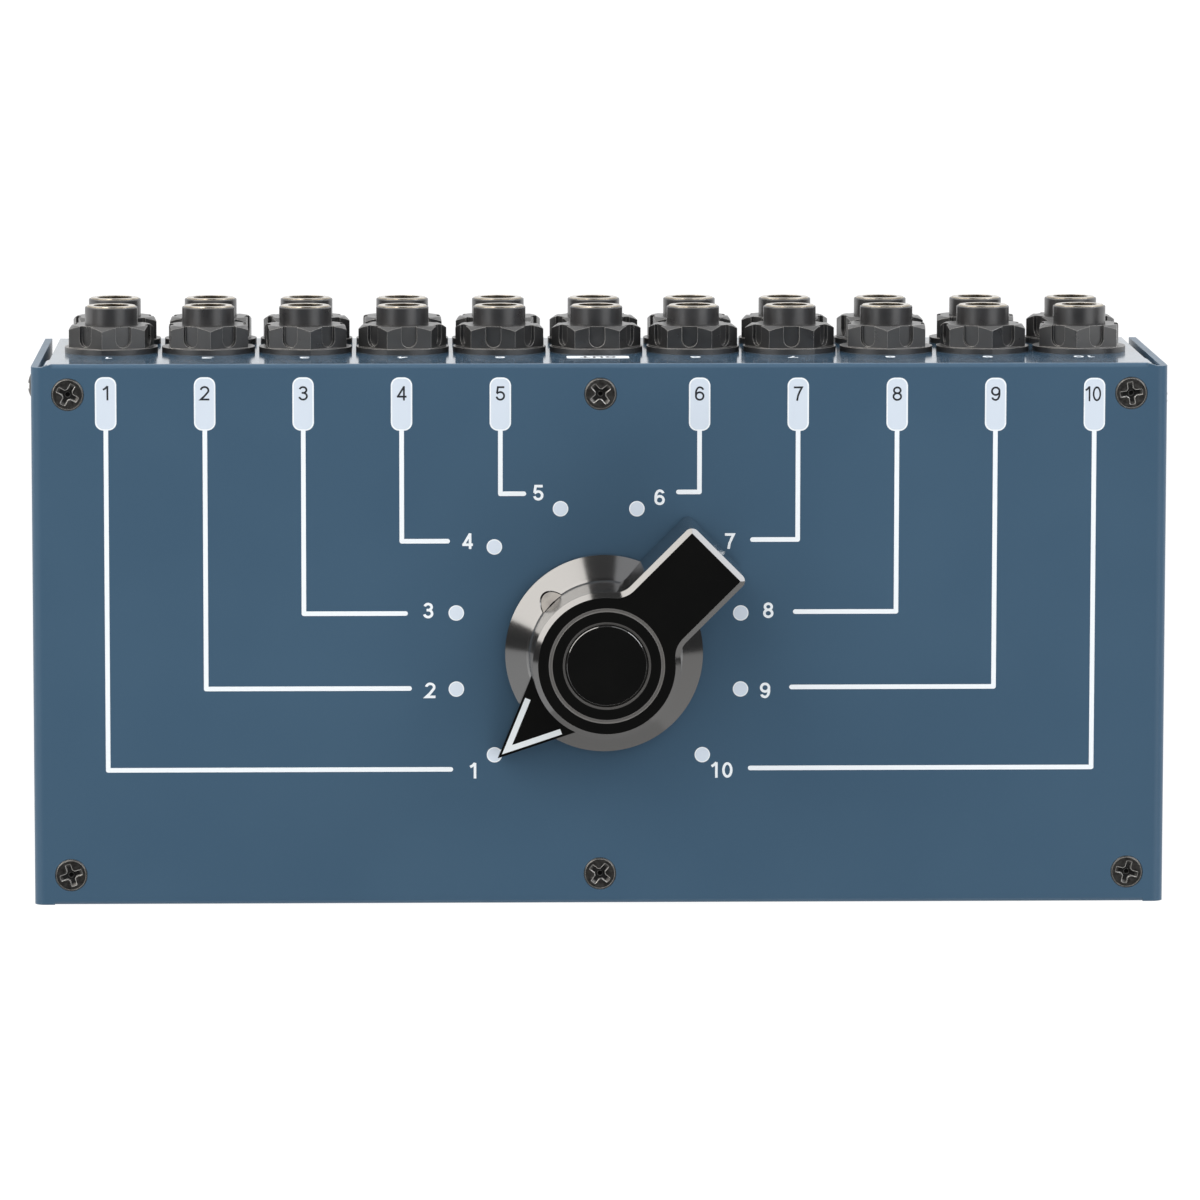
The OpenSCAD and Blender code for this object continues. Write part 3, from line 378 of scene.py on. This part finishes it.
def arc(cx, cy, rx, ry, start, end, steps=ARC_STEPS):
    """Points along an ellipse from one angle to another, in degrees."""
    turns = [math.radians(start + (end - start) * i / steps) for i in range(steps + 1)]
    return [(cx + rx * math.cos(t), cy + ry * math.sin(t)) for t in turns]


def ellipse(cx, cy, rx, ry, steps):
    """Points all the way round, with the first one not repeated."""
    return arc(cx, cy, rx, ry, 0, 360 - 360 / steps, steps - 1)


def disc(cx, cy, r):
    return ellipse(cx, cy, r, r, DISC_STEPS)


def rounded_box(x0, y0, x1, y1, r):
    """Rectangle with round corners."""
    points = []
    corners = ((x1 - r, y1 - r, 0), (x0 + r, y1 - r, 90), (x0 + r, y0 + r, 180), (x1 - r, y0 + r, 270))
    for cx, cy, start in corners:
        points += arc(cx, cy, r, r, start, start + 90, CORNER_STEPS)
    return points


def stroke(points, width):
    """Outline of a line of even width with mitred bends and square ends."""
    line = [Vector(p) for p in points]
    sides = [[], []]
    for i, p in enumerate(line):
        before = (p - line[i - 1]).normalized() if i else None
        after = (line[i + 1] - p).normalized() if i + 1 < len(line) else None
        along = ((before or after) + (after or before)).normalized()
        normal = Vector((-along.y, along.x))
        reach = width / 2 / max(MITRE_LIMIT, along.dot(after or before))
        sides[0].append(p + normal * reach)
        sides[1].append(p - normal * reach)
    return [tuple(p) for p in sides[0] + sides[1][::-1]]


def loop(points, width):
    """Outlines of a closed line: two strokes that overlap at their ends."""
    half = len(points) // 2
    return [stroke(points[:half + 2], width), stroke(points[half:] + points[:2], width)]


def oval(cx, cy, rx, ry, width):
    """Outlines of a closed oval line."""
    return loop(ellipse(cx, cy, rx, ry, OVAL_STEPS), width)


# Figures are drawn one unit high from lines of even width w, in a plain upright style
FIGURE_W = 0.66


def figure_strokes(sign, w):
    """Outlines of one figure, or of one letter of the word OUT."""
    s = w / 2
    wide, mid = FIGURE_W, FIGURE_W / 2
    left, right, low, high = s, FIGURE_W - s, s, 1 - s
    waist = 0.53
    top_ry, low_ry = (high - waist) / 2, (waist - low) / 2
    bowl_y, bowl_ry = 0.325, 0.325 - s
    if sign in "0O":
        return oval(mid, 0.5, mid - s, 0.5 - s, w)
    if sign == "1":
        stem = 0.46
        return [stroke([(stem, 0), (stem, 1)], w), stroke([(0.15, 0.74), (0.30, 0.82), (stem, 0.985)], w)]
    if sign == "2":
        bend = arc(mid, 0.70, mid - s, 0.30 - s, 172, -38)
        return [stroke(bend + [(0.30, 0.28), (left, low), (wide, low)], w)]
    if sign == "3":
        tongue = (mid - 0.10, waist)
        return [stroke(arc(mid, high - top_ry, mid - s - 0.03, top_ry, 165, -90) + [tongue], w),
                stroke([tongue] + arc(mid, low + low_ry, mid - s, low_ry, 90, -168), w)]
    if sign == "4":
        stem, bar = 0.50, 0.27
        return [stroke([(stem, 0), (stem, 1)], w), stroke([(0.01, bar), (wide + 0.02, bar)], w),
                stroke([(s * 0.8, bar - s * 0.6), (stem, 0.97)], w)]
    if sign == "5":
        return [stroke([(wide - 0.05, high), (0.16, high), (0.095, 0.49)], w),
                stroke([(0.10, 0.50)] + arc(mid, bowl_y + 0.005, mid - s, bowl_ry + 0.005, 138, -168), w)]
    if sign == "6":
        back = arc(mid, 0.5, mid - s, 0.5 - s, 205, 90)
        hook = arc(mid, 0.72, mid - s - 0.02, 0.28 - s, 85, 12)
        return [*oval(mid, bowl_y, mid - s, bowl_ry, w), stroke(back + hook, w)]
    if sign == "7":
        return [stroke([(0.02, high), (right - 0.01, high), (0.43, 0.64), (0.31, 0.34), (0.25, 0)], w)]
    if sign == "8":
        return [*oval(mid, high - top_ry, mid - s - 0.035, top_ry, w),
                *oval(mid, low + low_ry, mid - s, low_ry, w)]
    if sign == "9":
        return [[(wide - x, 1 - y) for x, y in line] for line in figure_strokes("6", w)]
    if sign == "U":
        return [stroke([(left, 1)] + arc(mid, 0.32, mid - s, 0.32 - s, 180, 360) + [(right, 1)], w)]
    return [stroke([(0, high), (wide, high)], w), stroke([(mid, 0), (mid, high)], w)]


def figures(word, cx, cy, height, weight, gap=0.17, squeeze=1.0):
    """Outlines of a word centred on a point; weight is the width of its lines over its height."""
    pitch = FIGURE_W + gap
    start = -(pitch * len(word) - gap) / 2
    lines = []
    for i, sign in enumerate(word):
        for line in figure_strokes(sign, weight):
            lines.append([(cx + height * squeeze * (start + i * pitch + x), cy + height * (y - 0.5))
                          for x, y in line])
    return lines


# Kind of result that keeps what lies inside the outlines, and how near points are merged, in mm
INSIDE_ONLY, MERGE_WITHIN = 1, 1e-5


def joined(outlines):
    """Vertices and faces of the area that the outlines cover together."""
    points, faces = [], []
    for line in outlines:
        turn = sum(a[0] * b[1] - b[0] * a[1] for a, b in zip(line, line[1:] + line[:1]))
        faces.append(list(range(len(points), len(points) + len(line))))
        points += [Vector(p) for p in (line if turn > 0 else line[::-1])]
    verts, _, cells, _, _, owners = delaunay_2d_cdt(points, [], faces, INSIDE_ONLY, MERGE_WITHIN)
    return verts, [cell for cell, owner in zip(cells, owners) if owner]


# How far ink stands out and reaches into its ground, in mm, and the bend in radians that is still flat
INK_T, INK_SINK = 0.03, 0.01
FLAT_WITHIN = 0.002


def printed(name, outlines, look, to_world, base=0.0):
    """One closed piece of ink; to_world turns (x, y, height) in mm into a point in metres."""
    verts, faces = joined(outlines)
    bm = bmesh.new()
    made = [bm.verts.new((p.x, p.y, base + INK_T)) for p in verts]
    for face in faces:
        bm.faces.new([made[i] for i in face])
    bmesh.ops.delete(bm, geom=[v for v in bm.verts if not v.link_faces], context="VERTS")
    bmesh.ops.dissolve_limit(bm, angle_limit=FLAT_WITHIN, verts=bm.verts, edges=bm.edges)
    bottom = bmesh.ops.duplicate(bm, geom=bm.faces[:])
    twins = bottom["vert_map"]
    for v in [g for g in bottom["geom"] if isinstance(g, bmesh.types.BMVert)]:
        v.co.z = base - INK_SINK
    tops = [e for e in bm.edges if e.is_boundary and all(v.co.z > base for v in e.verts)]
    for e in tops:
        a, b = e.verts
        bm.faces.new([a, b, twins[b], twins[a]])
    for v in bm.verts:
        v.co = to_world(*v.co)
    bmesh.ops.recalc_face_normals(bm, faces=bm.faces)
    mesh = bpy.data.meshes.new(name)
    bm.to_mesh(mesh)
    bm.free()
    mesh.materials.append(look)
    piece = bpy.data.objects.new(name, mesh)
    bpy.context.scene.collection.objects.link(piece)
    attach(piece, "box")


def on_panel(x, y, height):
    return Vector((x * MM, y * MM, PANEL_Z + height * MM))


def on_rear(x, y, height):
    """Rear wall, read from behind: x runs to the reader's right, y up from the ground."""
    return Vector((-x * MM, REAR_Y + height * MM, y * MM))


# Each source's line: where it runs across the panel, where it ends beside the dial, and the number there
PILL_X = {1: -101.6, 2: -81.3, 3: -61.1, 4: -40.9, 5: -20.6, 6: 20.4, 7: 40.7, 8: 61.1, 9: 81.4, 10: 101.8}
LINE_ENDS = {1: (-30.4, -32.7), 2: (-38.9, -15.8), 3: (-39.7, -0.2), 4: (-31.0, 14.8), 5: (-15.3, 24.6),
             6: (15.6, 24.9), 7: (30.9, 15.0), 8: (39.8, 0.0), 9: (39.1, -15.7), 10: (30.6, -32.6)}
DIAL_NUMBERS = {1: (-26.3, -33.0), 2: (-35.1, -16.2), 3: (-35.5, 0.4), 4: (-27.4, 14.8), 5: (-12.8, 24.8),
                6: (12.2, 23.8), 7: (26.7, 14.7), 8: (34.7, 0.3), 9: (34.1, -16.4), 10: (25.0, -33.0)}
LINE_W = 0.95
DIAL_WORD_H, DIAL_WORD_WEIGHT = 3.25, 0.165

# Number fields; the print is turned by a small slope against the panel
PILL_TOP, PILL_LOW, PILL_W, PILL_R, PILL_RIM = 48.6, 37.6, 4.4, 1.7, 0.30
PILL_WORD_Y, PILL_WORD_H, PILL_WORD_WEIGHT = 45.3, 2.95, 0.128
TEN_SHIFT, TEN_H, TEN_GAP, TEN_SQUEEZE = -0.45, 3.05, 0.06, 0.85
PRINT_TILT = -0.0022

# Dots of the dial, from the first one clockwise
DIAL_X, DIAL_Y, DIAL_R, DIAL_R_Y = -0.35, -8.1, 30.4, 30.6
FIRST_DOT, DOT_STEP = 225, -30
DOT_R, DOT_RIM = 1.6, 0.22

# Heights of the layers of ink that lie on others
RIM_BASE, FIELD_BASE, DOT_FILL_BASE, FIELD_WORD_BASE = 0.005, 0.020, 0.015, 0.035

lines, rims, fills, dots, dot_fills = [], [], [], [], []
dial_words, pill_words = [], []
for number, (end_x, end_y) in LINE_ENDS.items():
    x = PILL_X[number]
    tilt = PRINT_TILT * x
    towards = 1 if end_x > x else -1
    tip = end_x - towards * LINE_W / 2
    lines += [stroke([(x, PILL_LOW + LINE_W), (x, end_y)], LINE_W),
              stroke([(x, end_y), (tip, end_y)], LINE_W),
              disc(x, end_y, LINE_W / 2), disc(tip, end_y, LINE_W / 2)]
    half = PILL_W / 2
    rims.append(rounded_box(x - half, PILL_LOW + tilt, x + half, PILL_TOP + tilt, PILL_R))
    half -= PILL_RIM
    fills.append(rounded_box(x - half, PILL_LOW + PILL_RIM + tilt, x + half, PILL_TOP - PILL_RIM + tilt,
                             PILL_R - PILL_RIM))
    angle = math.radians(FIRST_DOT + DOT_STEP * (number - 1))
    reach = DIAL_R * math.cos(angle)
    dot = (DIAL_X + reach, DIAL_Y + DIAL_R_Y * math.sin(angle) + PRINT_TILT * reach)
    dots.append(disc(*dot, DOT_R))
    dot_fills.append(disc(*dot, DOT_R - DOT_RIM))
    dial_words += figures(str(number), *DIAL_NUMBERS[number], DIAL_WORD_H, DIAL_WORD_WEIGHT)
    if number < 10:
        pill_words += figures(str(number), x, PILL_WORD_Y + tilt, PILL_WORD_H, PILL_WORD_WEIGHT)
    else:
        pill_words += figures(str(number), x + TEN_SHIFT, PILL_WORD_Y + tilt, TEN_H, PILL_WORD_WEIGHT,
                              TEN_GAP, TEN_SQUEEZE)

printed("panel_lines", lines, PRINT_WHITE, on_panel)
printed("panel_pill_rims", rims, PRINT_WHITE, on_panel, RIM_BASE)
printed("panel_pills", fills, PRINT_FIELD, on_panel, FIELD_BASE)
printed("panel_dots", dots, PRINT_WHITE, on_panel)
printed("panel_dot_fills", dot_fills, PRINT_PALE, on_panel, DOT_FILL_BASE)
printed("panel_dial_numbers", dial_words, PRINT_WHITE, on_panel)
printed("panel_pill_numbers", pill_words, PRINT_DARK, on_panel, FIELD_WORD_BASE)

# Rear wall: the number of each source above its pair of sockets, and a field with the output's word
REAR_WORD_Z, REAR_WORD_H, REAR_NUMBER_WEIGHT, OUT_WEIGHT = 51.5, 3.2, 0.15, 0.16
BOX_W, BOX_H, BOX_R, BOX_WORD_BASE = 13.0, 5.4, 0.8, 0.02
rear_words = []
for name in JACK_COLUMNS:
    if name != "output":
        number = name.split("_")[1]
        rear_words += figures(number, -JACK_X[name], REAR_WORD_Z, REAR_WORD_H, REAR_NUMBER_WEIGHT)
output_box = rounded_box(-BOX_W / 2, REAR_WORD_Z - BOX_H / 2, BOX_W / 2, REAR_WORD_Z + BOX_H / 2, BOX_R)
output_word = figures("OUT", 0, REAR_WORD_Z, REAR_WORD_H, OUT_WEIGHT)
printed("rear_numbers", rear_words, PRINT_WHITE, on_rear)
printed("rear_output_box", [output_box], PRINT_WHITE, on_rear)
printed("rear_output_word", output_word, PRINT_DARK, on_rear, BOX_WORD_BASE)


# Studio: pale floor, soft surroundings that are dark overhead, and low softboxes round the box

FLOOR_HALF = 30.0
FLOOR_PLAIN, FLOOR_SEEN, FLOOR_GLOW = 0.80, 0.20, 0.90


def floor_look():
    """Grey floor that camera, glossy and transmission rays see as white, with the box's shadow on it."""
    mat = bpy.data.materials.new("pale_floor")
    mat.use_nodes = True
    nodes, links = mat.node_tree.nodes, mat.node_tree.links
    nodes.clear()
    out = nodes.new("ShaderNodeOutputMaterial")
    plain = nodes.new("ShaderNodeBsdfDiffuse")
    plain.inputs["Color"].default_value = (FLOOR_PLAIN, FLOOR_PLAIN, FLOOR_PLAIN, 1)
    seen = nodes.new("ShaderNodeBsdfDiffuse")
    seen.inputs["Color"].default_value = (FLOOR_SEEN, FLOOR_SEEN, FLOOR_SEEN, 1)
    glow = nodes.new("ShaderNodeEmission")
    glow.inputs["Strength"].default_value = FLOOR_GLOW
    both = nodes.new("ShaderNodeAddShader")
    links.new(seen.outputs[0], both.inputs[0])
    links.new(glow.outputs[0], both.inputs[1])
    rays = nodes.new("ShaderNodeLightPath")
    looking = rays.outputs["Is Camera Ray"]
    for kind in ("Is Glossy Ray", "Is Transmission Ray"):
        either = nodes.new("ShaderNodeMath")
        either.operation = "MAXIMUM"
        links.new(looking, either.inputs[0])
        links.new(rays.outputs[kind], either.inputs[1])
        looking = either.outputs[0]
    pick = nodes.new("ShaderNodeMixShader")
    links.new(looking, pick.inputs[0])
    links.new(plain.outputs[0], pick.inputs[1])
    links.new(both.outputs[0], pick.inputs[2])
    links.new(pick.outputs[0], out.inputs["Surface"])
    return mat


floor_mesh = bpy.data.meshes.new("floor")
floor_mesh.from_pydata([(-FLOOR_HALF, -FLOOR_HALF, 0), (FLOOR_HALF, -FLOOR_HALF, 0),
                        (FLOOR_HALF, FLOOR_HALF, 0), (-FLOOR_HALF, FLOOR_HALF, 0)], [], [(0, 1, 2, 3)])
floor_mesh.materials.append(floor_look())
floor = bpy.data.objects.new("floor", floor_mesh)
bpy.context.scene.collection.objects.link(floor)

# Levels of the surroundings: by the height of the direction, and by its nearness to the dark part overhead
STUDIO_STRENGTH = 1.42
OVERHEAD = Vector((-0.12, -0.30, 0.946)).normalized()
RISE = ((0.0, 0.05), (0.36, 0.09), (0.58, 0.95), (1.0, 1.0))
FALL = ((0.0, 1.0), (0.76, 1.0), (0.90, 0.06), (1.0, 0.04))


def surroundings():
    """Soft light from all round: dim at the horizon, bright above it, dark overhead and a little in front."""
    world = bpy.data.worlds.new("studio")
    bpy.context.scene.world = world
    world.use_nodes = True
    nodes, links = world.node_tree.nodes, world.node_tree.links
    place = nodes.new("ShaderNodeTexCoord")
    parts = nodes.new("ShaderNodeSeparateXYZ")
    links.new(place.outputs["Generated"], parts.inputs[0])
    overhead = nodes.new("ShaderNodeVectorMath")
    overhead.operation = "DOT_PRODUCT"
    overhead.inputs[1].default_value = OVERHEAD
    links.new(place.outputs["Generated"], overhead.inputs[0])

    def ramp(source, stops):
        node = nodes.new("ShaderNodeValToRGB")
        links.new(source, node.inputs[0])
        node.color_ramp.elements.remove(node.color_ramp.elements[1])
        for i, (at, level) in enumerate(stops):
            stop = node.color_ramp.elements[0] if i == 0 else node.color_ramp.elements.new(at)
            stop.position = at
            stop.color = (level, level, level, 1)
        return node.outputs[0]

    level = nodes.new("ShaderNodeMix")
    level.data_type = "RGBA"
    level.blend_type = "MULTIPLY"
    level.inputs[0].default_value = 1.0
    links.new(ramp(parts.outputs["Z"], RISE), level.inputs[COLOUR_A])
    links.new(ramp(overhead.outputs["Value"], FALL), level.inputs[COLOUR_B])
    links.new(level.outputs[COLOUR_OUT], nodes["Background"].inputs["Color"])
    nodes["Background"].inputs["Strength"].default_value = STUDIO_STRENGTH


surroundings()

# Softboxes, as seen from a point in the knob over the frame's origin: azimuth of the middle, span, lowest and
# highest angle, radiance, colour
SOFTBOX_DISTANCE, SEEN_FROM_Z = 1.0, 0.08
SOFTBOXES = {
    "softbox_left": (135, 64, -3, 26, 4.10, (1.0, 0.96, 0.91)),
    "softbox_right": (36, 32, -3, 26, 4.20, (0.96, 0.97, 1.0)),
    "softbox_rear": (66, 28, -3, 26, 0.95, (0.96, 0.97, 1.0)),
    "screen_left": (206, 42, -3, 18, 1.00, (1.0, 1.0, 1.0)),
    "screen_front": (266, 78, -3, 18, 0.58, (1.0, 0.98, 0.96)),
    "screen_right": (329, 48, -3, 18, 0.76, (1.0, 0.98, 0.96)),
    "fill_front": (275, 84, 24, 46, 1.5, (1.0, 0.99, 0.97)),
}


def softbox(name, azimuth, span, low, high, radiance, colour):
    """Upright light panel that faces the box, sized by the angles it fills."""
    width = 2 * SOFTBOX_DISTANCE * math.tan(math.radians(span / 2))
    z0, z1 = (SEEN_FROM_Z + SOFTBOX_DISTANCE * math.tan(math.radians(e)) for e in (low, high))
    light = bpy.data.lights.new(name, "AREA")
    light.shape = "RECTANGLE"
    light.size, light.size_y = width, z1 - z0
    light.energy = radiance * math.pi * width * (z1 - z0)
    light.color = colour
    lamp = bpy.data.objects.new(name, light)
    turn = math.radians(azimuth)
    lamp.location = (SOFTBOX_DISTANCE * math.cos(turn), SOFTBOX_DISTANCE * math.sin(turn), (z0 + z1) / 2)
    lamp.rotation_euler = (math.pi / 2, 0, turn + math.pi / 2)
    lamp.visible_camera = False
    bpy.context.scene.collection.objects.link(lamp)


for name, setting in SOFTBOXES.items():
    softbox(name, *setting)

# Camera: a long lens high above the box, a little behind its rear wall
CAMERA_SENSOR, CAMERA_LENS = 36.0, 219.93
CAMERA_EYE = Vector((-0.0427, 0.1904, 1.571))
CAMERA_AIM = Vector((-0.00006, 0.00251, 0.071))
CAMERA_UP = Vector((-0.0011, 1, 0))
camera_data = bpy.data.cameras.new("camera")
camera_data.sensor_width = CAMERA_SENSOR
camera_data.lens = CAMERA_LENS
camera = bpy.data.objects.new("camera", camera_data)
camera.location = CAMERA_EYE
ahead = (CAMERA_AIM - CAMERA_EYE).normalized()
right = ahead.cross(CAMERA_UP).normalized()
up = right.cross(ahead)
camera.rotation_mode = "QUATERNION"
camera.rotation_quaternion = Matrix((right, up, -ahead)).transposed().to_quaternion()
bpy.context.scene.collection.objects.link(camera)
bpy.context.scene.camera = camera
bpy.context.scene.view_settings.view_transform = "Standard"
